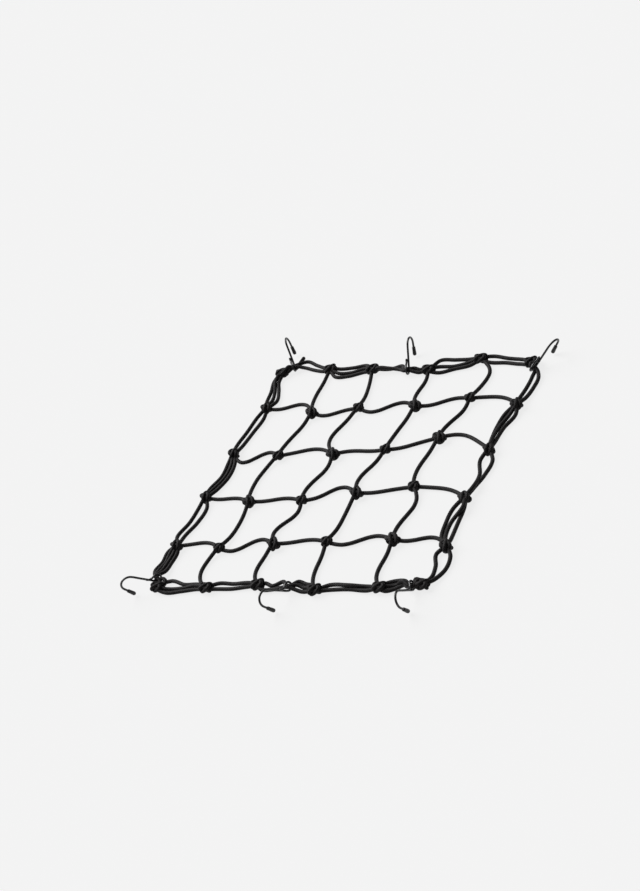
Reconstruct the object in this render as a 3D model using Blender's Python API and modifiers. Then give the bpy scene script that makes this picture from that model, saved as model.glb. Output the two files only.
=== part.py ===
"""Luggage net: elastic cords knotted into 5 x 5 meshes, with six wire hooks on its border.

Metres, +Z up. The net lies flat on the plane z = 0 with its rows along X and its columns
along Y, and the origin is at the middle of the underside of the whole outline.
"""
import bpy
import bmesh
import math
from mathutils import Vector, Matrix

MM = 0.001

# driving sizes, in mm
PITCH = 70.0          # knot to knot
COUNT = 6             # knots along a side
CORD_D = 4.8          # elastic cord
CORD_Z = 2.4          # height of a cord's middle between knots
KNOT_LONG = 8.0       # half length of a knot
KNOT_WIDE = 6.2       # half width of a knot
BORDER_KNOT = 1.15    # a border knot holds more cord and is this much wider
KNOT_Z = 5.1          # height of a knot's middle, its underside is pressed flat at z = 0
KNOT_TURN = 35.0      # heading of a knot's long axis, degrees below +X
NECK_R = 3.2          # the border drawn together inside a hook's eye
NECK_HALF = 3.2
NECK_Z = 7.2
WIRE_D = 2.4          # coated hook wire
EYE_GAP = 0.45        # between the wire and the drawn-in border
SHANK = 29.4          # eye to the start of the bend
BEND_R = 9.2
BEND_TURN = 165.0
LIMB = 16.2           # end of the bend to the tip
CAP_LEN = 11.0
CAP_R_MOUTH = 2.1
CAP_R_END = 2.35
CAP_BORE_R = 1.55
CAP_BORE_DEEP = 7.0
TAIL_LEN = 21.0       # free cut end of a cord by the upper left hook
CENTRE = Vector((1.0, 5.8))   # middle of the whole outline in the plane of the knot grid

# how far each knot lies from its place on the even grid, (x, y) in mm, left to right
KNOT_SHIFT = {
    1: [(10, 6), (10, 6), (4, 0), (15, -7), (10, 6), (2, -6)],
    2: [(14, 10), (15, -1), (10, 3), (18, 2), (18, 10), (12, -5)],
    3: [(1, 1), (-2, -4), (5, -4), (4, 0), (-1, 17), (0, -7)],
    4: [(-6, -1), (-10, -7), (-7, -8), (-8, 3), (-5, 10), (-5, -10)],
    5: [(-10, -7), (-19, -11), (-17, -4), (-17, -1), (-4, 1), (-5, -8)],
    6: [(-8.5, 1.5), (-9, 0), (-11, 5), (-2, -1), (6, 4), (-16, 9)],
}

# sideways shape of each inner cord, (bow, wave) in mm for its five spans.
# rows run left to right and bow towards +Y, columns run down and bow towards +X
ROW_SHAPE = {
    2: [(9, -5), (-4, -3), (0, -7), (2, -3), (9, -1)],
    3: [(-2, -7), (10, -2), (4, 1), (0, -2), (12, 2)],
    4: [(3, -2), (4, -2), (9, -6), (-2, -1), (10, -2)],
    5: [(8, -1), (2, -7), (5, -1), (3, -6), (9, -4)],
}
COLUMN_SHAPE = {
    2: [(-7, 1), (-2, 2), (-11, 1), (4, -1), (-14, 1)],
    3: [(1, 0), (-18, 3), (-3, 5), (-4, 7), (-11, 2)],
    4: [(-4, 3), (-1, 0), (-10, 3), (3, -1), (-7, 2)],
    5: [(14, 3), (-2, 3), (-7, 2), (5, 6), (-6, 4)],
}

# hooks: eye position (x, y), heading of the shank, its rise from the plane, and the lean
# of the hook's own plane from upright, degrees
HOOKS = {
    "hook_top_left": dict(eye=(-150.6, 187.3), heading=116.5, rise=52, lean=-4),
    "hook_top_middle": dict(eye=(22, 168), heading=88.7, rise=49.5, lean=8),
    "hook_top_right": dict(eye=(191.2, 158.3), heading=27.8, rise=40.8, lean=42),
    "hook_bottom_right": dict(eye=(149.3, -169), heading=269.4, rise=49, lean=13),
    "hook_bottom_middle": dict(eye=(-3, -173.3), heading=243.7, rise=49, lean=18),
    "hook_bottom_left": dict(eye=(-188.4, -163.7), heading=225.3, rise=50, lean=-4),
}

# border, clockwise from the top left corner: where each span starts and ends, and the
# (outward bow, wave) in mm of the two cords that run all round and of a third where doubled
BORDER = [
    ((1, 1), "hook_top_left", [(2, 0), (-2, 0)]),
    ("hook_top_left", (1, 2), [(4, 1), (-2, 0)]),
    ((1, 2), (1, 3), [(6, -3), (-6, -4)]),
    ((1, 3), "hook_top_middle", [(2, 0), (-3, 0)]),
    ("hook_top_middle", (1, 4), [(3, 0), (-3, 0)]),
    ((1, 4), (1, 5), [(12, 6), (-8, 0)]),
    ((1, 5), (1, 6), [(7, 1), (-1, -1)]),
    ((1, 6), "hook_top_right", [(6, 0), (4, 0)]),
    ("hook_top_right", (2, 6), [(7, 2), (-3, 1)]),
    ((2, 6), (3, 6), [(3, 3), (-7, 0)]),
    ((3, 6), (4, 6), [(6, 5), (-2, -5)]),
    ((4, 6), (5, 6), [(2, 0), (-11, 0), (-5, 0)]),
    ((5, 6), (6, 6), [(14, 2), (1, -5)]),
    ((6, 6), "hook_bottom_right", [(0, 0), (0, 0)]),
    ("hook_bottom_right", (6, 5), [(2, -2), (-5, 0), (-2, 0)]),
    ((6, 5), (6, 4), [(3, 0), (-5, 1)]),
    ((6, 4), "hook_bottom_middle", [(4, 0), (-5, 0), (0, 1)]),
    ("hook_bottom_middle", (6, 3), [(3, 0), (-3, 0)]),
    ((6, 3), (6, 2), [(2, 0), (-6, 2)]),
    ((6, 2), (6, 1), [(5, -4), (-8, 4), (1, -2)]),
    ((6, 1), "hook_bottom_left", [(1, 0), (-1, 0)]),
    ("hook_bottom_left", (5, 1), [(6, 3), (-4, 3)]),
    ((5, 1), (4, 1), [(4, 3), (-4, 3)]),
    ((4, 1), (3, 1), [(4, 0), (-2, 1), (1, 0)]),
    ((3, 1), (2, 1), [(8, 1), (-2, 3)]),
    ((2, 1), (1, 1), [(10, -1), (0, -2), (5, -1)]),
]

for old in list(bpy.data.objects):
    bpy.data.objects.remove(old, do_unlink=True)

parts = bpy.data.collections.new("luggage_net")
tools = bpy.data.collections.new("construction")
bpy.context.scene.collection.children.link(parts)
bpy.context.scene.collection.children.link(tools)


def material(name, rgb, roughness, metallic=0.0):
    mat = bpy.data.materials.new(name)
    mat.use_nodes = True
    bsdf = mat.node_tree.nodes["Principled BSDF"]
    bsdf.inputs["Base Color"].default_value = (*rgb, 1.0)
    bsdf.inputs["Roughness"].default_value = roughness
    bsdf.inputs["Metallic"].default_value = metallic
    return mat


def knot_at(row, column):
    shift = KNOT_SHIFT[row][column - 1]
    half = (COUNT + 1) / 2
    return Vector(((column - half) * PITCH + shift[0] - CENTRE.x,
                   (half - row) * PITCH + shift[1] - CENTRE.y, KNOT_Z))


def hook_frame(spec):
    """Eye centre, the shank's direction, and the side the hook bends to."""
    heading, rise, lean = (math.radians(spec[k]) for k in ("heading", "rise", "lean"))
    along = Vector((math.cos(rise) * math.cos(heading), math.cos(rise) * math.sin(heading), math.sin(rise)))
    level = Vector((-math.sin(heading), math.cos(heading), 0.0))
    upper = along.cross(level)
    upper *= math.copysign(1.0, upper.z)
    side = level * math.sin(lean) - upper * math.cos(lean)
    eye = Vector((spec["eye"][0] - CENTRE.x, spec["eye"][1] - CENTRE.y, NECK_Z))
    return eye, along, side


def station(place, travel):
    """Where the border enters and leaves a knot or a hook's eye."""
    if isinstance(place, tuple):
        point = knot_at(*place)
        return point, point
    eye, along, side = hook_frame(HOOKS[place])
    normal = along.cross(side).normalized()
    if normal.dot(travel) < 0:
        normal.negate()
    return eye - normal * NECK_HALF, eye + normal * NECK_HALF


def place_of(name):
    if isinstance(name, tuple):
        return knot_at(*name)
    return hook_frame(HOOKS[name])[0]


def span(start, end, bow, wave, steps, lift=0.0):
    """Points of one cord from start to end, bowed and waved in plan, low between its ends."""
    chord = end - start
    side = Vector((-chord.y, chord.x, 0.0)).normalized()
    points = []
    for i in range(steps + 1):
        t = i / steps
        p = start.lerp(end, t) + side * (bow * 4 * t * (1 - t) + wave * math.sin(2 * math.pi * t))
        near_start = max(0.0, 1 - t / 0.4) ** 2
        near_end = max(0.0, 1 - (1 - t) / 0.4) ** 2
        p.z = CORD_Z + lift * math.sin(math.pi * t) + (start.z - CORD_Z) * near_start + (end.z - CORD_Z) * near_end
        points.append(p)
    return points


def cord_mesh(name, runs, diameter=CORD_D):
    """One mesh of round cords along the given runs of points."""
    curve = bpy.data.curves.new(name, "CURVE")
    curve.dimensions = "3D"
    curve.bevel_depth = diameter / 2 * MM
    curve.bevel_resolution = 1
    curve.use_fill_caps = True
    for run in runs:
        spline = curve.splines.new("POLY")
        spline.points.add(len(run) - 1)
        for slot, p in zip(spline.points, run):
            slot.co = (p.x * MM, p.y * MM, p.z * MM, 1.0)
    holder = bpy.data.objects.new(name, curve)
    tools.objects.link(holder)
    bpy.context.view_layer.update()
    graph = bpy.context.evaluated_depsgraph_get()
    mesh = bpy.data.meshes.new_from_object(holder.evaluated_get(graph))
    bpy.data.objects.remove(holder)
    bm = bmesh.new()
    bm.from_mesh(mesh)
    bmesh.ops.remove_doubles(bm, verts=bm.verts, dist=0.00001)
    bmesh.ops.recalc_face_normals(bm, faces=bm.faces)
    bm.to_mesh(mesh)
    bm.free()
    obj = bpy.data.objects.new(name, mesh)
    tools.objects.link(obj)
    obj.hide_render = True
    obj.display_type = "WIRE"
    return obj


def knots_mesh(name):
    """All knots: balls with three slanting wraps, pressed flat underneath."""
    bm = bmesh.new()
    flat_down = Matrix.Rotation(math.radians(30), 3, "Z")   # a facet, not an edge, faces down
    for row in range(1, COUNT + 1):
        for column in range(1, COUNT + 1):
            made = bmesh.ops.create_uvsphere(bm, u_segments=6, v_segments=7, radius=1.0)["verts"]
            turn = Matrix.Rotation(math.radians(-KNOT_TURN - 12 * math.sin(row * 2.1 + column * 1.3)), 3, "Z")
            centre = knot_at(row, column)
            size = BORDER_KNOT if row in (1, COUNT) or column in (1, COUNT) else 1.0
            for v in made:
                ball = flat_down @ v.co
                ridge = 1.0 + 0.12 * math.cos(4 * math.asin(max(-1.0, min(1.0, ball.z))))
                p = Vector((ball.z * KNOT_LONG * size, ball.x * KNOT_WIDE * size * ridge,
                            ball.y * KNOT_WIDE * ridge))
                p.x += 0.30 * p.y
                p = turn @ p + centre
                p.z = max(p.z, 0.0)
                v.co = p * MM
    bmesh.ops.recalc_face_normals(bm, faces=bm.faces)
    mesh = bpy.data.meshes.new(name)
    bm.to_mesh(mesh)
    bm.free()
    obj = bpy.data.objects.new(name, mesh)
    return obj


# the inner cords: four rows and four columns, each one cord through six knots
rows = []
for row, shapes in ROW_SHAPE.items():
    run = []
    for i, (bow, wave) in enumerate(shapes):
        pts = span(knot_at(row, i + 1), knot_at(row, i + 2), bow, wave, 4)
        run += pts if not run else pts[1:]
    rows.append([p - Vector((0, 0, 1.3)) if p.z > 4 else p for p in run])
columns = []
for column, shapes in COLUMN_SHAPE.items():
    run = []
    for i, (bow, wave) in enumerate(shapes):
        pts = span(knot_at(i + 1, column), knot_at(i + 2, column), bow, wave, 4)
        run += pts if not run else pts[1:]
    columns.append([p + Vector((0, 0, 0.9)) if p.z > 4 else p for p in run])

# the border: two cords all round, a third where it is doubled, and the drawn-in necks.
# side by side in a knot, the cords lie almost as one inside a hook's eye
outer, inner, third, necks = [], [], [], []
for start, end, shapes in BORDER:
    travel = place_of(end) - place_of(start)
    a = station(start, travel)[1]
    b = station(end, travel)[0]
    outward = Vector((-travel.y, travel.x, 0.0)).normalized()
    steps = 3 if travel.length > 14 else 2
    for cord, (bow, wave) in enumerate(shapes):
        apart = outward * (1.6, -1.6, 0.0)[cord] + Vector((0, 0, (0.3, -0.4, 1.5)[cord]))
        from_a = apart * (1.0 if isinstance(start, tuple) else 0.18)
        from_b = apart * (1.0 if isinstance(end, tuple) else 0.18)
        pts = span(a + from_a, b + from_b, bow, wave, steps, lift=(0.0, 0.0, 3.4)[cord])
        (outer, inner, third)[cord].append(pts)


def joined(pieces):
    """One run through all the pieces, without points that nearly coincide."""
    run = []
    for pts in pieces:
        for p in pts:
            if not run or (p - run[-1]).length > 2.2:
                run.append(p)
    return run


for name, spec in HOOKS.items():
    eye, along, side = hook_frame(spec)
    normal = along.cross(side).normalized()
    necks.append([eye - normal * (NECK_HALF + 0.6), eye + normal * (NECK_HALF + 0.6)])

tail_root = Vector((-147.0 - CENTRE.x, 186.2 - CENTRE.y, 5.1))
tail = [tail_root, tail_root + Vector((0.6, 6.5, -1.6)), tail_root + Vector((0.0, TAIL_LEN * 0.6, -2.2)),
        tail_root + Vector((1.4, TAIL_LEN, -2.1))]

net = knots_mesh("net")
parts.objects.link(net)
cuts = [
    cord_mesh("rows", rows),
    cord_mesh("columns", columns),
    cord_mesh("border_outer", [joined(outer)]),
    cord_mesh("border_inner", [joined(inner)]),
    cord_mesh("border_third", third),
    cord_mesh("necks", necks, NECK_R * 2),
    cord_mesh("tail", [tail]),
]
for tool in cuts:
    union = net.modifiers.new(tool.name, "BOOLEAN")
    union.operation = "UNION"
    union.solver = "EXACT"
    union.use_self = True
    union.object = tool

cord_black = material("elastic_cord_black", (0.013, 0.013, 0.014), 0.72)
wire_black = material("coated_wire_black", (0.012, 0.012, 0.013), 0.35)
cap_black = material("cap_black", (0.010, 0.010, 0.010), 0.5)
net.data.materials.append(cord_black)


def hook_path():
    """The wire in its own plane: x runs out along the shank, y to the side of the bend."""
    g = NECK_R + EYE_GAP + WIRE_D / 2
    pts = [(11.0, g - WIRE_D - 0.45), (8.4, g - WIRE_D - 1.1), (5.6, -1.6), (3.3, -3.9)]
    for i in range(9):
        a = math.radians(-90 - i * 180 / 8)
        pts.append((-0.4 + g * math.cos(a), g * math.sin(a)))
    pts.append((SHANK, g))
    n = 9
    for i in range(1, n + 1):
        a = math.radians(-90 + i * BEND_TURN / n)
        pts.append((SHANK + BEND_R * math.cos(a), g + BEND_R + BEND_R * math.sin(a)))
    heading = math.radians(BEND_TURN)
    reach = LIMB - CAP_LEN + CAP_BORE_DEEP - 0.3
    end = Vector(pts[-1])
    ahead = Vector((math.cos(heading), math.sin(heading)))
    mouth = end + ahead * (LIMB - CAP_LEN)
    pts.append(tuple(end + ahead * reach))
    return pts, mouth, ahead


path, mouth, ahead = hook_path()
wire_curve = bpy.data.curves.new("hook_wire", "CURVE")
wire_curve.dimensions = "3D"
wire_curve.bevel_depth = WIRE_D / 2 * MM
wire_curve.bevel_resolution = 2
wire_curve.use_fill_caps = True
spline = wire_curve.splines.new("POLY")
spline.points.add(len(path) - 1)
for slot, (x, y) in zip(spline.points, path):
    slot.co = (x * MM, y * MM, 0.0, 1.0)
wire_curve.materials.append(wire_black)

# the cap: a turned sleeve with a blind bore and a round end, on Z
profile = [(0.0, CAP_LEN), (CAP_R_END * 0.62, CAP_LEN - 0.5), (CAP_R_END, CAP_LEN - 2.2),
           (CAP_R_END * 0.97, CAP_LEN - 4.6), (CAP_R_MOUTH, 0.0), (CAP_BORE_R, 0.0),
           (CAP_BORE_R, CAP_BORE_DEEP), (0.0, CAP_BORE_DEEP)]
cap_mesh = bpy.data.meshes.new("cap_profile")
cap_mesh.from_pydata([(x * MM, 0.0, z * MM) for x, z in profile], [(i, i + 1) for i in range(len(profile) - 1)], [])
cap_mesh.materials.append(cap_black)

for name, spec in HOOKS.items():
    eye, along, side = hook_frame(spec)
    normal = along.cross(side)
    wire = bpy.data.objects.new(name, wire_curve)
    wire.matrix_world = Matrix((
        (along.x, side.x, normal.x, eye.x * MM),
        (along.y, side.y, normal.y, eye.y * MM),
        (along.z, side.z, normal.z, eye.z * MM),
        (0, 0, 0, 1)))
    parts.objects.link(wire)
    cap = bpy.data.objects.new(name.replace("hook_", "cap_"), cap_mesh)
    cap.parent = wire
    across = Vector((-ahead.y, ahead.x))
    cap.matrix_local = Matrix((
        (across.x, 0, ahead.x, mouth.x * MM),
        (across.y, 0, ahead.y, mouth.y * MM),
        (0, 1, 0, 0),
        (0, 0, 0, 1)))
    parts.objects.link(cap)
    screw = cap.modifiers.new("turn", "SCREW")
    screw.steps = screw.render_steps = 10
    screw.use_merge_vertices = True
    screw.merge_threshold = 0.0001
    screw.use_normal_calculate = True
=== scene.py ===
"""Luggage net: elastic cords knotted into square meshes, a doubled border and six wire hooks.

Metres, +Z up. The net lies flat on the floor with its rows along X and its columns along Y.
Sizes that are easier to read in millimetres are written so and multiplied by MM.
"""
import math

import bpy
import numpy as np
from mathutils import Matrix, Vector


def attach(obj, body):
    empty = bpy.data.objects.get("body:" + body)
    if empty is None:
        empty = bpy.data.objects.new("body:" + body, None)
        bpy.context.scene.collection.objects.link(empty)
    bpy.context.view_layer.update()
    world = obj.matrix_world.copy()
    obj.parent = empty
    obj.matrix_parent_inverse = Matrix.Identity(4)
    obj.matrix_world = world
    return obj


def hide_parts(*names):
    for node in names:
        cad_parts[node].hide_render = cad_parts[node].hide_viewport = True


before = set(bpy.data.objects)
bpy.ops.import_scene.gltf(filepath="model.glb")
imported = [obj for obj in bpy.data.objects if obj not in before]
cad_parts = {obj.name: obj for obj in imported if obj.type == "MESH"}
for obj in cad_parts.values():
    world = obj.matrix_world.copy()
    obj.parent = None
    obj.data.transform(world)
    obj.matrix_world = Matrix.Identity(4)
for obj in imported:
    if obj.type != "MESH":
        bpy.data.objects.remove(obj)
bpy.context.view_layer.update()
MM = 0.001

# ---- The studio: a pale sweep of paper lit evenly from all round, with a broad soft light
# from behind, and a camera that looks down on one corner of the net and is held tilted.
TARGET = Vector((0.0028, -0.0154, 0.006))
VIEW_HEADING = math.radians(131.2)   # the way the camera looks, in plan
VIEW_DOWN = math.radians(38.0)
VIEW_DISTANCE = 1.8
CAMERA_TILT = math.radians(29.75)
SENSOR = 36.0
PICTURE_HIGH = 891                   # pixels of the long side
FOCAL_PIXELS = 1565                  # gives 1.15 mm to a pixel at the target
TARGET_RIGHT_OF_MIDDLE = 24.9        # pixels
TARGET_BELOW_MIDDLE = 32.0

ahead = Vector((math.cos(VIEW_DOWN) * math.cos(VIEW_HEADING),
                math.cos(VIEW_DOWN) * math.sin(VIEW_HEADING), -math.sin(VIEW_DOWN)))
level = Vector((math.sin(VIEW_HEADING), -math.cos(VIEW_HEADING), 0.0))
upward = level.cross(ahead)
picture_right = level * math.cos(CAMERA_TILT) - upward * math.sin(CAMERA_TILT)
picture_up = level * math.sin(CAMERA_TILT) + upward * math.cos(CAMERA_TILT)

camera_data = bpy.data.cameras.new("camera")
camera_data.sensor_width = SENSOR
camera_data.lens = SENSOR * FOCAL_PIXELS / PICTURE_HIGH
camera_data.shift_x = -TARGET_RIGHT_OF_MIDDLE / PICTURE_HIGH
camera_data.shift_y = TARGET_BELOW_MIDDLE / PICTURE_HIGH
camera = bpy.data.objects.new("camera", camera_data)
camera.matrix_world = (Matrix.Translation(TARGET - ahead * VIEW_DISTANCE)
                       @ Matrix((picture_right, picture_up, -ahead)).transposed().to_4x4())
bpy.context.scene.collection.objects.link(camera)
bpy.context.scene.camera = camera


def linear(hex_colour):
    """An sRGB hex colour as linear red, green, blue and full alpha."""
    parts = [int(hex_colour[i:i + 2], 16) / 255 for i in (1, 3, 5)]
    return [c / 12.92 if c <= 0.04045 else ((c + 0.055) / 1.055) ** 2.4 for c in parts] + [1.0]


def add_node(tree, kind, settings, inputs):
    """One node with its settings. An input goes by its name or its place in the node's list, and
    takes a value or another node's output."""
    node = tree.nodes.new(kind)
    for key, value in settings.items():
        setattr(node, key, value)
    for socket, value in inputs.items():
        if isinstance(value, bpy.types.NodeSocket):
            tree.links.new(value, node.inputs[socket])
        else:
            node.inputs[socket].default_value = value
    return node


def maths(tree, operation, *values):
    """The output of a Math node that works on these values or outputs."""
    node = add_node(tree, "ShaderNodeMath", {"operation": operation}, dict(enumerate(values)))
    return node.outputs[0]


def new_material(name):
    """An empty material and its node tree."""
    material = bpy.data.materials.new(name)
    material.use_nodes = True
    material.node_tree.nodes.clear()
    return material, material.node_tree


# matt backdrop paper: most of its brightness is its own, so shadows on it stay faint
PAPER = "#f1f1f1"
OWN_LIGHT = 0.92                     # the share that is its own
paper, tree = new_material("backdrop_paper")
matt = add_node(tree, "ShaderNodeBsdfDiffuse", {}, {"Color": linear(PAPER)})
glow = add_node(tree, "ShaderNodeEmission", {}, {"Color": linear(PAPER), "Strength": 1.0})
both = add_node(tree, "ShaderNodeMixShader", {},
                {0: OWN_LIGHT, 1: matt.outputs[0], 2: glow.outputs[0]})
add_node(tree, "ShaderNodeOutputMaterial", {}, {"Surface": both.outputs[0]})

FLOOR_HALF = 25.0                    # so wide that its edge is far off in any view
FLOOR_Z = -0.0002                    # just under the cords, which lie on z = 0
floor_corners = [(-FLOOR_HALF, -FLOOR_HALF, FLOOR_Z), (FLOOR_HALF, -FLOOR_HALF, FLOOR_Z),
                 (FLOOR_HALF, FLOOR_HALF, FLOOR_Z), (-FLOOR_HALF, FLOOR_HALF, FLOOR_Z)]
floor_mesh = bpy.data.meshes.new("floor")
floor_mesh.from_pydata(floor_corners, [], [(0, 1, 2, 3)])
floor_mesh.materials.append(paper)
floor = bpy.data.objects.new("floor", floor_mesh)
bpy.context.scene.collection.objects.link(floor)

FILL_STRENGTH = 0.2
world = bpy.data.worlds.new("studio")
world.use_nodes = True
background = world.node_tree.nodes["Background"]
background.inputs["Color"].default_value = linear("#ffffff")
background.inputs["Strength"].default_value = FILL_STRENGTH
bpy.context.scene.world = world

KEY_HEADING = math.radians(160.0)    # the light stands beyond the far corner
KEY_HEIGHT = math.radians(42.0)
KEY_ENERGY = 5.0
KEY_WIDTH = math.radians(50.0)       # of sky that it takes up, so its shadows are soft
key_data = bpy.data.lights.new("key", "SUN")
key_data.energy = KEY_ENERGY
key_data.angle = KEY_WIDTH
key = bpy.data.objects.new("key", key_data)
key_from = Vector((math.cos(KEY_HEIGHT) * math.cos(KEY_HEADING),
                   math.cos(KEY_HEIGHT) * math.sin(KEY_HEADING), math.sin(KEY_HEIGHT)))
key.matrix_world = key_from.to_track_quat("Z", "Y").to_matrix().to_4x4()
bpy.context.scene.collection.objects.link(key)
bpy.context.scene.view_settings.view_transform = "Standard"

# ---- The cord: rubber threads in a braided sheath of black polyester yarn, 4.7 mm thick.
# The yarns cross each other over and under, and the light caught by their matt fibres is a painted
# highlight: the colour is lighter on the raised crowns of the yarns, by an uneven amount.
CORD_RADIUS = 2.35 * MM
CORD_SIDES = 16
RING_SPACING = 1.5 * MM
DOME = np.radians([25.0, 50.0, 75.0])   # where the rings of a closed end lie, up from its rim
YARNS_ONE_WAY = 8                    # yarns that wind round the cord in each direction
YARN_PITCH = 2.2 * MM                # along the cord, from one yarn to the next

sheath, tree = new_material("braided_polyester_sheath")
uv = add_node(tree, "ShaderNodeUVMap", {"uv_map": "along"}, {})
axes = add_node(tree, "ShaderNodeSeparateXYZ", {}, {0: uv.outputs[0]})
around = maths(tree, "MULTIPLY", axes.outputs[1], YARNS_ONE_WAY)
along = maths(tree, "DIVIDE", axes.outputs[0], YARN_PITCH)
left_hand = maths(tree, "ADD", around, along)
right_hand = maths(tree, "SUBTRACT", around, along)
crowns = []
for hand in (left_hand, right_hand):
    wave = maths(tree, "SINE", maths(tree, "MULTIPLY", hand, math.pi))
    crowns.append(maths(tree, "ABSOLUTE", wave))
cells = add_node(tree, "ShaderNodeCombineXYZ", {}, {0: left_hand, 1: right_hand, 2: 0.5})
over = add_node(tree, "ShaderNodeTexChecker", {}, {"Vector": cells.outputs[0], "Scale": 1.0})
braid = add_node(tree, "ShaderNodeMix", {"data_type": "FLOAT"},
                 {0: over.outputs["Fac"], 2: crowns[0], 3: crowns[1]})
place = add_node(tree, "ShaderNodeTexCoord", {}, {})
uneven_highlight_noise = add_node(tree, "ShaderNodeTexNoise", {},
                {"Vector": place.outputs["Object"], "Scale": 60.0, "Detail": 3.0})
# painted highlight: strongest on the raised crowns of the yarns, made uneven by the noise
painted_yarn_highlight = maths(tree, "MULTIPLY", braid.outputs[0], uneven_highlight_noise.outputs[0])
# near-black sheath colour, lightened towards dark grey where the painted highlight lies
colour = add_node(tree, "ShaderNodeMix", {"data_type": "RGBA"},
                  {0: painted_yarn_highlight, 6: linear("#030303"), 7: linear("#282425")})
relief = add_node(tree, "ShaderNodeBump", {},
                  {"Height": braid.outputs[0], "Strength": 0.55, "Distance": 0.25 * MM})
cloth = add_node(tree, "ShaderNodeBsdfPrincipled", {},
                 {"Base Color": colour.outputs[2], "Roughness": 0.6, "Specular IOR Level": 0.12,
                  "Sheen Weight": 0.04, "Sheen Roughness": 0.5, "Normal": relief.outputs[0]})
add_node(tree, "ShaderNodeOutputMaterial", {}, {"Surface": cloth.outputs[0]})


def smooth_run(points, spacing):
    """One smooth curve through all the points, read off every `spacing`.

    Between two points it is a cubic; its slope at a point is the mean of the two chords that
    meet there, each weighted by the other's length.
    """
    points = np.array(points, float)
    chord = np.linalg.norm(np.diff(points, axis=0), axis=1)
    travelled = np.concatenate([[0.0], np.cumsum(chord)])
    rise = np.diff(points, axis=0) / chord[:, None]
    before = (chord[1:] / (chord[:-1] + chord[1:]))[:, None]
    slope = np.concatenate([rise[:1], rise[:-1] * before + rise[1:] * (1 - before), rise[-1:]])
    s = np.linspace(0.0, travelled[-1], int(travelled[-1] / spacing) + 2)
    k = np.clip(np.searchsorted(travelled, s, side="right") - 1, 0, len(chord) - 1)
    length = chord[k][:, None]
    t = (s - travelled[k])[:, None] / length
    return (points[k] * (2 * t ** 3 - 3 * t ** 2 + 1)
            + slope[k] * length * (t ** 3 - 2 * t ** 2 + t)
            + points[k + 1] * (3 * t ** 2 - 2 * t ** 3)
            + slope[k + 1] * length * (t ** 3 - t ** 2))


def ring_faces(along, sides):
    """The faces that join rings into one closed shell, and the UVs of their corners.

    `along` says how far on each ring lies, in m. The UV map gives that and turns round the ring.
    """
    i, j = np.meshgrid(np.arange(len(along) - 1), np.arange(sides), indexing="ij")
    here, beside = i * sides + j, i * sides + (j + 1) % sides
    quads = np.stack([here, beside, beside + sides, here + sides], axis=-1).reshape(-1, 4)
    u = np.stack([along[i], along[i], along[i + 1], along[i + 1]], axis=-1)
    v = np.stack([j, j + 1, j + 1, j], axis=-1) / sides
    first, last = np.arange(sides)[::-1], (len(along) - 1) * sides + np.arange(sides)
    end_uvs = [np.stack([np.full(sides, along[end]), np.arange(sides) / sides], axis=-1)
               for end in (0, -1)]
    return (quads.tolist() + [first.tolist(), last.tolist()],
            np.concatenate([np.stack([u, v], axis=-1).reshape(-1, 2)] + end_uvs))


def tube(path, radius, sides, reference, flatten=False):
    """A round tube along the path, closed by a dome at each end, as (vertices, faces, uvs).

    Each ring lies square to the path and starts at the side reference x tangent. The domes are
    rings that shrink with the cosine of an angle while they move on with its sine. Flattened,
    nothing goes below z = 0.
    """
    tangent = np.gradient(path, axis=0)
    tangent /= np.linalg.norm(tangent, axis=1)[:, None]
    head = path[0] - tangent[0] * radius * np.sin(DOME[::-1])[:, None]
    foot = path[-1] + tangent[-1] * radius * np.sin(DOME)[:, None]
    rings = np.concatenate([head, path, foot])
    tangents = np.concatenate([np.tile(tangent[0], (len(DOME), 1)), tangent,
                               np.tile(tangent[-1], (len(DOME), 1))])
    radii = radius * np.concatenate([np.cos(DOME[::-1]), np.ones(len(path)), np.cos(DOME)])
    side = np.cross(reference, tangents)
    side /= np.linalg.norm(side, axis=1)[:, None]
    over = np.cross(tangents, side)
    turn = np.linspace(0.0, 2 * math.pi, sides, endpoint=False)
    across = np.cos(turn)[None, :, None] * side[:, None, :]
    up = np.sin(turn)[None, :, None] * over[:, None, :]
    vertices = (rings[:, None, :] + (across + up) * radii[:, None, None]).reshape(-1, 3)
    if flatten:
        vertices[:, 2] = np.maximum(vertices[:, 2], 0.0)
    steps = np.linalg.norm(np.diff(rings, axis=0), axis=1)
    return vertices, *ring_faces(np.concatenate([[0.0], np.cumsum(steps)]), sides)


def make_piece(name, shells, finish, slot, *solids):
    """One smooth-shaded object of the shells, which rides on the root and stands for the solids."""
    vertices, faces, uvs = [], [], []
    for shell_vertices, shell_faces, shell_uvs in shells:
        start = sum(len(part) for part in vertices)
        faces += [[index + start for index in face] for face in shell_faces]
        vertices.append(shell_vertices)
        uvs.append(shell_uvs)
    mesh = bpy.data.meshes.new(name)
    mesh.from_pydata(np.concatenate(vertices).tolist(), [], faces)
    mesh.uv_layers.new(name="along").data.foreach_set("uv", np.concatenate(uvs).ravel())
    mesh.shade_smooth()
    mesh.materials.append(finish)
    piece = bpy.data.objects.new(name, mesh)
    bpy.context.scene.collection.objects.link(piece)
    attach(piece, "root")
    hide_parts(*solids)


# ---- The meshes: four cords run across and four run down, and where two meet they are tied.
# They are only laid out by hand, so each knot is off its even place and each cord waves.
PITCH = 70.0                         # mm from knot to knot
COUNT = 6                            # knots along a side
CORD_Z = 2.4                         # mm, the middle of a cord that lies on the floor
KNOT_Z = 5.1                         # the middle of a knot
ROW_Z = 3.8                          # a row's cord where it is in a knot
COLUMN_Z = 6.0                       # a column's cord there
MIDDLE = np.array([1.0, 5.8])        # mm, middle of the outline from the middle of the even grid

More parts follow.
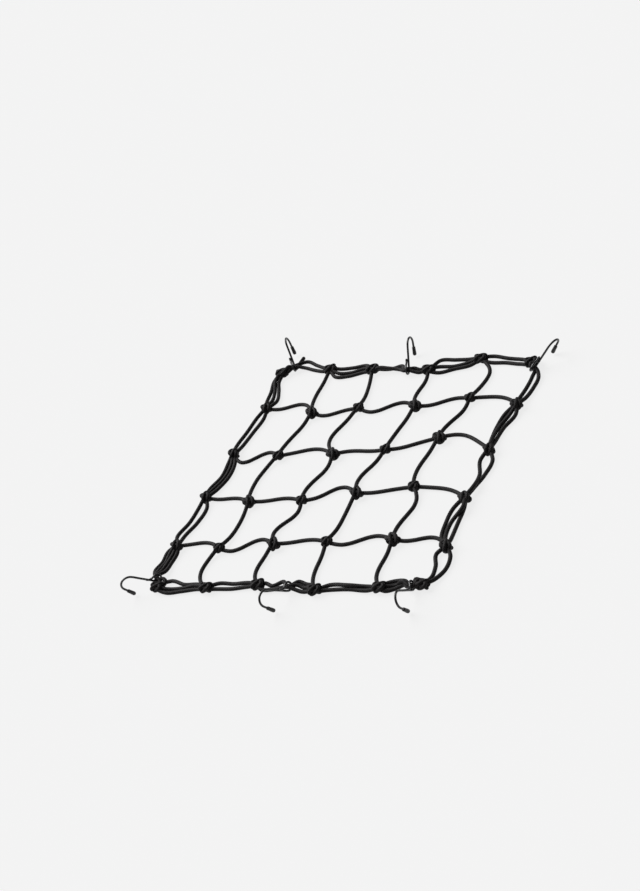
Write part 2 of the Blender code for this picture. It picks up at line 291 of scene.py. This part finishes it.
# (x, y) in mm from the even grid, left to right along each row of knots
KNOT_SHIFT = {
    1: [(8.7, 3.8), (11, 5), (4, 0), (15, -7.5), (10.5, 6), (9, -5.5)],
    2: [(14, 10), (15, -1), (10, 3), (18, 2), (18, 10), (12, -5)],
    3: [(1, 1), (-2, -4), (5, -4), (5, 0.5), (-1, 17), (0, -5.5)],
    4: [(-6, -1), (-11, -8), (-7, -8), (-8, 3), (-6, 10.5), (-6, -8.5)],
    5: [(-11, -8), (-19, -11), (-17, -4), (-17, -1), (-4.5, 2.5), (-5, -8)],
    6: [(-7.2, -1.5), (-8.5, -1), (-10.5, 5), (-3.5, -1), (5.5, 4), (-15.5, 9)],
}

# (bow, wave) in mm of each span: rows run right and bow to +Y, columns run down and bow to +X
ROW_SHAPE = {
    2: [(10, -5.5), (-4, -3), (0.7, -7), (2, -3), (9, -1)],
    3: [(-3.5, -9), (10, -2), (3, 1.5), (-0.5, -1), (12, 2)],
    4: [(3, -2), (4, -2), (10, -5.3), (-0.5, -1), (7.5, -1)],
    5: [(8, -1.5), (3, -7), (4.2, -1.6), (2, -5.5), (8, -4.5)],
}
COLUMN_SHAPE = {
    2: [(-5.5, 1.5), (-2, 2), (-10, 0.5), (5, -0.5), (-15.5, 1)],
    3: [(2.5, -0.5), (-15, 4), (-1, 4.5), (-4, 7), (-10, 2)],
    4: [(-3, 3), (-2, 1), (-8, 3.5), (1.5, -1), (-6, 2)],
    5: [(14.3, 3), (-0.5, 3), (-7, 2), (5.5, 5), (-7, 3)],
}
SPAN_STEPS = 8
COMES_DOWN = 0.4                     # of a span, in which a cord comes down from its knot


def knot_at(row, column, z=KNOT_Z):
    """The middle of a knot, in mm."""
    half = (COUNT + 1) / 2
    even = np.array([(column - half) * PITCH, (half - row) * PITCH])
    return np.append(even + KNOT_SHIFT[row][column - 1] - MIDDLE, z)


def span(start, end, bow, wave):
    """Points of a cord from start to end, in mm: bowed as a parabola, waved as one sine, and lying
    on the floor between its ends."""
    t = np.linspace(0.0, 1.0, SPAN_STEPS + 1)[:, None]
    chord = end - start
    side = np.array([-chord[1], chord[0], 0.0]) / np.hypot(chord[0], chord[1])
    points = start + chord * t + side * (bow * 4 * t * (1 - t) + wave * np.sin(2 * math.pi * t))
    near_start = np.maximum(0.0, 1 - t / COMES_DOWN) ** 2
    near_end = np.maximum(0.0, 1 - (1 - t) / COMES_DOWN) ** 2
    points[:, 2:] = CORD_Z + (start[2] - CORD_Z) * near_start + (end[2] - CORD_Z) * near_end
    return points


def cord_shell(points):
    """A cord through points in mm."""
    path = smooth_run(points, RING_SPACING / MM) * MM
    return tube(path, CORD_RADIUS, CORD_SIDES, (0.0, 0.0, 1.0), flatten=True)


def mesh_cord(stops, shapes):
    """One cord of the meshes, from knot to knot through all its stops."""
    spans = [span(start, end, *shape) for start, end, shape in zip(stops, stops[1:], shapes)]
    return cord_shell(np.concatenate([spans[0]] + [points[1:] for points in spans[1:]]))


for row, shapes in ROW_SHAPE.items():
    stops = [knot_at(row, column, ROW_Z) for column in range(1, COUNT + 1)]
    make_piece(f"row_cord_{row}", [mesh_cord(stops, shapes)], sheath, "elastic_cord", "net")
for column, shapes in COLUMN_SHAPE.items():
    stops = [knot_at(row, column, COLUMN_Z) for row in range(1, COUNT + 1)]
    make_piece(f"column_cord_{column}", [mesh_cord(stops, shapes)], sheath, "elastic_cord", "net")

# ---- The knots: at each crossing one cord is tied round the other in an overhand knot and drawn
# tight, so that turns of it lie side by side over the top. Inside the border, every other knot
# is tied from the other side and is shorter. Those of the border hold its cords as well.
KNOT_CORD_RADIUS = 2.2               # mm, the cord is squeezed where it is pulled tight
KNOT_TURNS = 3
KNOT_RINGS = 128
KNOT_SIDES = 14
UNDER_OVER = 0.2                     # how much further out a turn lies where it is on top
# how much knots of one kind differ, as a sine that steps on from row to row and column to column
TWIST = dict(most=9.0, row_step=2.1, column_step=1.3)    # degrees of the heading
START = dict(most=0.5, row_step=1.7, column_step=2.9)    # radians of where the turns begin
# half of a turn's length and height and half of the knot's width, to the cord's middle, in mm;
# the heading of the turns in degrees; how far the knot sits from the crossing, in mm. An edge
# knot is one of the first or last row, and a side knot one of the first or last column.
KNOT_KINDS = {
    "front": dict(long=6.4, high=3.7, wide=4.3, heading=-38, shift=(1.0, -0.8)),
    "back": dict(long=3.8, high=3.0, wide=4.1, heading=-72, shift=(0.3, -0.3)),
    "side": dict(long=5.4, high=3.8, wide=4.0, heading=-50, shift=(-0.4, 0.0)),
    "edge": dict(long=4.0, high=3.3, wide=5.8, heading=-80, shift=(0.0, 0.6)),
}


def knot_kind(row, column):
    """The kind of the knot at a place."""
    if row in (1, COUNT):
        return "edge"
    if column in (1, COUNT):
        return "side"
    return "back" if (row + column) % 2 else "front"


def differing(way, row, column):
    """How much the knot at a place differs in that way from its kind."""
    return way["most"] * math.sin(row * way["row_step"] + column * way["column_step"])


def overhand_knot(row, column):
    """The cord's path in a drawn knot, in m: round the knot's short axis in each turn, while it
    swings from side to side and in and out once more often than it goes round."""
    kind = KNOT_KINDS[knot_kind(row, column)]
    t = np.linspace(0.0, 2 * math.pi, KNOT_RINGS)[:, None]
    heading = math.radians(kind["heading"] - differing(TWIST, row, column))
    long_way = np.array([math.cos(heading), math.sin(heading), 0.0])
    short_way = np.array([-math.sin(heading), math.cos(heading), 0.0])
    swing = (KNOT_TURNS + 1) * t + differing(START, row, column)
    out = 1 + UNDER_OVER * np.cos(swing)
    path = (long_way * kind["long"] * out * np.cos(KNOT_TURNS * t)
            + np.array([0.0, 0.0, kind["high"]]) * out * np.sin(KNOT_TURNS * t)
            + short_way * kind["wide"] * np.sin(swing))
    middle = knot_at(row, column) + np.array([*kind["shift"], 0.0])
    return tube((path + middle) * MM, KNOT_CORD_RADIUS * MM, KNOT_SIDES, short_way, flatten=True)


knots = [overhand_knot(row, column)
         for row in range(1, COUNT + 1) for column in range(1, COUNT + 1)]
make_piece("knots", knots, sheath, "elastic_cord", "net")

# ---- The border: two cords run side by side all round through the outer knots and the eyes of
# the hooks, a third joins them along some spans and a fourth along one. They part between knots.
NECK_HALF = 3.2                      # mm, half the stretch where a hook's eye holds them together
NECK_Z = 7.2                         # the middle of a hook's eye
HOOKS = {
    "top_left": dict(eye=(-150.6, 187.3), heading=116.5, rise=52, lean=-4),
    "top_middle": dict(eye=(22, 168), heading=88.7, rise=49.5, lean=8),
    "top_right": dict(eye=(191.2, 158.3), heading=27.8, rise=40.8, lean=42),
    "bottom_right": dict(eye=(149.3, -169), heading=269.4, rise=49, lean=13),
    "bottom_middle": dict(eye=(-3, -173.3), heading=243.7, rise=49, lean=18),
    "bottom_left": dict(eye=(-188.4, -163.7), heading=225.3, rise=50, lean=-4),
}

# clockwise from the top left corner: from, to, and how far outward in mm the outer cord, the
# inner cord and, where there are more, the third and fourth lie at each of PLACES_ALONG
BORDER = [
    ((1, 1), "top_left", [(3.5, 4, 3), (-2.5, -2.5, -2), (0.5, 0.5, 0.5)]),
    ("top_left", (1, 2), [(11.5, 8, 3.5), (1, -0.5, -2.5)]),
    ((1, 2), (1, 3), [(2.5, 5.5, 8.5), (-11.5, -9.5, -3.5), (-5, -3.5, 2.5)]),
    ((1, 3), "top_middle", [(2.5, 5, 9), (0.5, 2.3, 2.8)]),
    ("top_middle", (1, 4), [(3.2, 2.2, 4.5), (-2, -2.5, -0.5)]),
    ((1, 4), (1, 5), [(15, 11, 5.5), (-7, -5.5, -5.5), (3, -0.5, 0)]),
    ((1, 5), (1, 6), [(7.5, 6.3, 5.2), (-3, -1.2, -2.3)]),
    ((1, 6), "top_right", [(9, 9, 4), (1, 1, 0)]),
    ("top_right", (2, 6), [(8, 8, 5.8), (-0.2, -0.7, -1.9)]),
    ((2, 6), (3, 6), [(5, -0.2, 0), (-8.5, -9.3, -6), (-2, -5, -3)]),
    ((3, 6), (4, 6), [(9.5, 8.3, 3), (-5.8, 2, 5)]),
    ((4, 6), (5, 6), [(2.7, 1.6, 1.4), (-10.5, -13, -11), (3.6, -7, -6)]),
    ((5, 6), (6, 6), [(11, 14, 9.5), (-7, 0.7, 4)]),
    ((6, 6), "bottom_right", [(2.7, -0.3, -3), (-6, -7.6, -8.2)]),
    ("bottom_right", (6, 5), [(-3, 0.4, 4), (-8.5, -10.5, -7.2), (-4.5, -4.2, -1.5)]),
    ((6, 5), (6, 4), [(1.7, -1.5, -1), (-4, -4.3, -8.1)]),
    ((6, 4), "bottom_middle", [(1.7, 2.5, 1.7), (-7, -8.3, -9.3), (-2.5, -3, -4)]),
    ("bottom_middle", (6, 3), [(1.5, 3.5, 5.5), (-7.5, -1, -4)]),
    ((6, 3), (6, 2), [(0.5, 1.5, 1), (-3.7, -5.7, -7.3)]),
    ((6, 2), (6, 1), [(0.6, 3.3, 6.2), (-6.7, -6.7, -11.2), (-2.9, -1.3, 1)]),
    ((6, 1), "bottom_left", [(3.5, 3.5, 3.5), (-9, -10, -8), (-3.5, -3.5, -3)]),
    ("bottom_left", (5, 1), [(8.6, 8, 8.4), (-6, -5.4, -5.6), (3.8, 3.4, 3.8), (-1, -1, -0.9)]),
    ((5, 1), (4, 1), [(9.5, 4.5, 3.5), (-0.5, -7, -8.5)]),
    ((4, 1), (3, 1), [(4.5, -0.7, 1.5), (-6.5, -11.5, -8.7), (-1, -6, -4)]),
    ((3, 1), (2, 1), [(7, 6.8, 6.5), (-2, -3, -4.4)]),
    ((2, 1), (1, 1), [(5.5, 6.3, 7.7), (-9, -5.3, 0.3), (-2, 0.5, 4)]),
]
PLACES_ALONG = (0.2, 0.5, 0.8)       # of the way between two stops
APART_OUTWARD = (2.2, -2.2, 0.8, -0.8)   # mm, where each cord lies in a knot from its middle
APART_UP = (0.2, -0.5, 1.8, 1.5)
DRAWN_TOGETHER = 0.6                 # how much of that is left in a hook's eye
CORDS_TOUCH = 4.6                    # mm between the middles of two cords that touch
LEAST_STEP = 2.2                     # mm between two points of a cord that runs all round
DROP = 28.0                          # mm from a knot or eye to where the cords lie on the floor


def hook_axes(spec):
    """A hook's eye in mm, the way its shank runs, the side it bends to, and its plane's normal."""
    heading, rise, lean = (math.radians(spec[key]) for key in ("heading", "rise", "lean"))
    shank = np.array([math.cos(rise) * math.cos(heading), math.cos(rise) * math.sin(heading),
                      math.sin(rise)])
    flat = np.array([-math.sin(heading), math.cos(heading), 0.0])
    upper = np.cross(shank, flat)
    upper *= math.copysign(1.0, upper[2])
    side = flat * math.sin(lean) - upper * math.cos(lean)
    eye = np.append(np.array(spec["eye"]) - MIDDLE, NECK_Z)
    return eye, shank, side, np.cross(shank, side)


def middle_of(stop):
    """The middle of a knot or of a hook's eye."""
    return knot_at(*stop) if isinstance(stop, tuple) else hook_axes(HOOKS[stop])[0]


def way_out(stop, travel):
    """Where a cord that travels that way leaves the knot or eye."""
    if isinstance(stop, tuple):
        return knot_at(*stop)
    eye, _, _, normal = hook_axes(HOOKS[stop])
    return eye + normal * math.copysign(NECK_HALF, normal @ travel)


def border_span(start, end, offsets):
    """The points of each cord of a span, in mm. A cord that comes near one before it in the list
    lies over that one."""
    travel = middle_of(end) - middle_of(start)
    outward = np.array([-travel[1], travel[0], 0.0]) / np.hypot(travel[0], travel[1])
    leave, arrive = way_out(start, travel), way_out(end, -travel)
    length = np.linalg.norm(arrive - leave)
    cords = []
    for cord, outs in enumerate(offsets):
        apart = outward * APART_OUTWARD[cord] + np.array([0.0, 0.0, APART_UP[cord]])
        first, last = (exit_point + apart * (1.0 if isinstance(stop, tuple) else DRAWN_TOGETHER)
                       for stop, exit_point in ((start, leave), (end, arrive)))
        points = [first]
        for place, out in zip(PLACES_ALONG, outs):
            point = leave + (arrive - leave) * place + outward * out
            held_up = max((first[2] - CORD_Z) * max(0.0, 1 - length * place / DROP) ** 2,
                          (last[2] - CORD_Z) * max(0.0, 1 - length * (1 - place) / DROP) ** 2)
            point[2] = CORD_Z + held_up
            for other in cords:
                gap = abs((point - other[len(points)]) @ outward)
                if gap < CORDS_TOUCH:
                    on_top = other[len(points)][2] + math.sqrt(CORDS_TOUCH ** 2 - gap ** 2)
                    point[2] = max(point[2], on_top)
            points.append(point)
        cords.append(np.array(points + [last]))
    return cords


border_runs = ([], [], [], [])
for start, end, offsets in BORDER:
    for runs, points in zip(border_runs, border_span(start, end, offsets)):
        runs.append(points)
outer_runs, inner_runs, third_runs, fourth_runs = border_runs


def all_round(runs):
    """The runs as one cord, without points nearer than LEAST_STEP to the one kept before."""
    points = np.concatenate(runs)
    kept = [points[0]]
    for point in points[1:]:
        if np.linalg.norm(point - kept[-1]) > LEAST_STEP:
            kept.append(point)
    return cord_shell(kept)


make_piece("border_cord_outer", [all_round(outer_runs)], sheath, "elastic_cord", "net")
make_piece("border_cord_inner", [all_round(inner_runs)], sheath, "elastic_cord", "net")
make_piece("border_cords_more", [cord_shell(run) for run in third_runs + fourth_runs], sheath,
           "elastic_cord", "net")

# a cord's free end by the top left hook: where it begins, from the middle of the even grid, and
# its points from there, in mm
TAIL_ROOT = (-147.6, 186.2)
TAIL = [(0.0, 0.0, 0.0), (0.6, 6.5, -1.6), (0.0, 12.6, -2.2), (1.4, 21.0, -2.1)]
tail_root = np.append(TAIL_ROOT - MIDDLE, KNOT_Z)
make_piece("tail_cord", [cord_shell(tail_root + TAIL)], sheath, "elastic_cord", "net")

# ---- The hooks: spring wire dipped in black plastic, bent to a closed eye at one end and to a
# long open J at the other. The border cords run through the eye.
WIRE_RADIUS = 1.28                   # mm, with its coat
EYE_RADIUS = 4.85                    # to the middle of the wire, as is the bend's
EYE_BACK = 0.4                       # how far the eye's middle lies behind the shank's root
EYE_STEPS = 12
SHANK = 29.4
BEND_RADIUS = 9.2
BEND_TURN = math.radians(165.0)
BEND_STEPS = 18
LIMB = 16.2                          # from the bend to the end of the cap
CAP_LENGTH = 11.0
CAP_BORE = 7.0                       # how deep the hole for the wire is
BORE_SPARE = 0.3                     # how far the wire stops short of that
LIMB_FIRST = 3.0                     # from the bend to the limb's first point
WIRE_SPACING = 1.0                   # mm between rings
WIRE_SIDES = 14
# the short return lapped beside the shank: x along it, y to the side of the bend, z off it
RETURN = [(12.0, 3.8, 2.3), (9.4, 3.5, 2.2), (6.4, 1.0, 1.8), (4.0, -2.8, 0.7)]

coat, tree = new_material("dipped_black_plastic")
place = add_node(tree, "ShaderNodeTexCoord", {}, {})
sag = add_node(tree, "ShaderNodeTexNoise", {},
               {"Vector": place.outputs["Object"], "Scale": 260.0, "Detail": 2.0})
gloss = add_node(tree, "ShaderNodeMapRange", {}, {0: sag.outputs[0], 3: 0.24, 4: 0.4})
orange_peel = add_node(tree, "ShaderNodeBump", {},
                       {"Height": sag.outputs[0], "Strength": 0.25, "Distance": 0.08 * MM})
plastic = add_node(tree, "ShaderNodeBsdfPrincipled", {},
                   {"Base Color": linear("#171718"), "Roughness": gloss.outputs[0],
                    "Normal": orange_peel.outputs[0]})
add_node(tree, "ShaderNodeOutputMaterial", {}, {"Surface": plastic.outputs[0]})

moulded, tree = new_material("moulded_soft_cap")
place = add_node(tree, "ShaderNodeTexCoord", {}, {})
grain = add_node(tree, "ShaderNodeTexNoise", {},
                 {"Vector": place.outputs["Object"], "Scale": 900.0, "Detail": 2.0})
matt_grain = add_node(tree, "ShaderNodeBump", {},
                      {"Height": grain.outputs[0], "Strength": 0.3, "Distance": 0.05 * MM})
soft = add_node(tree, "ShaderNodeBsdfPrincipled", {},
                {"Base Color": linear("#0b0b0b"), "Roughness": 0.5,
                 "Normal": matt_grain.outputs[0]})
add_node(tree, "ShaderNodeOutputMaterial", {}, {"Surface": soft.outputs[0]})


def wire_path():
    """The wire in its own plane, in mm, with the cap's mouth and the way the limb runs there: the
    return, the eye, the shank, the bend as an arc, and the limb into the cap. x runs along the
    shank, y to the side of the bend."""
    ring = np.radians(np.linspace(-90.0, -270.0, EYE_STEPS + 1))
    eye = np.stack([-EYE_BACK + EYE_RADIUS * np.cos(ring), EYE_RADIUS * np.sin(ring)], axis=1)
    shank = [(8.0, EYE_RADIUS), (20.0, EYE_RADIUS)]
    arc = np.linspace(0.0, BEND_TURN, BEND_STEPS + 1) - math.pi / 2
    bend = np.stack([SHANK + BEND_RADIUS * np.cos(arc),
                     EYE_RADIUS + BEND_RADIUS * (1 + np.sin(arc))], axis=1)
    limb_way = np.array([math.cos(BEND_TURN), math.sin(BEND_TURN)])
    mouth = bend[-1] + limb_way * (LIMB - CAP_LENGTH)
    limb = [bend[-1] + limb_way * LIMB_FIRST, mouth + limb_way * (CAP_BORE - BORE_SPARE)]
    flat = np.concatenate([eye, shank, bend, limb])
    path = np.concatenate([RETURN, np.column_stack([flat, np.zeros(len(flat))])])
    return path, mouth, limb_way


# (distance from the mouth, radius) in mm: a sleeve that swells to a blunt round end
CAP_PROFILE = [(0.0, 1.56), (0.0, 1.95), (0.35, 2.1), (3.0, 2.12), (5.2, 2.2), (6.4, 2.3),
               (8.8, 2.35), (10.0, 2.1), (10.7, 1.5), (CAP_LENGTH, 0.7)]
CAP_SIDES = 24


def turned(profile, sides):
    """A profile of (distance, radius) turned about the distance axis, as (vertices, faces, uvs)."""
    distance, radius = np.array(profile).T
    turn = np.linspace(0.0, 2 * math.pi, sides, endpoint=False)
    vertices = np.stack([np.broadcast_to(distance[:, None], (len(profile), sides)),
                         radius[:, None] * np.cos(turn), radius[:, None] * np.sin(turn)], axis=-1)
    return vertices.reshape(-1, 3), *ring_faces(distance * MM, sides)


flat_path, cap_mouth, limb_way = wire_path()
cap_axes = np.array([[limb_way[0], limb_way[1], 0.0], [-limb_way[1], limb_way[0], 0.0],
                     [0.0, 0.0, 1.0]])
cap_vertices, cap_faces, cap_uvs = turned(CAP_PROFILE, CAP_SIDES)
cap_on_wire = cap_vertices @ cap_axes + np.append(cap_mouth, 0.0)
for place_name, spec in HOOKS.items():
    eye, shank, side, normal = hook_axes(spec)
    axes_in_net = np.stack([shank, side, normal])
    path = (smooth_run(flat_path, WIRE_SPACING) @ axes_in_net + eye) * MM
    make_piece(f"wire_{place_name}", [tube(path, WIRE_RADIUS * MM, WIRE_SIDES, normal)], coat,
               "hook_wire", f"hook_{place_name}")
    cap_in_net = (cap_on_wire @ axes_in_net + eye) * MM
    make_piece(f"tip_{place_name}", [(cap_in_net, cap_faces, cap_uvs)], moulded, "tip_cap",
               f"cap_{place_name}")
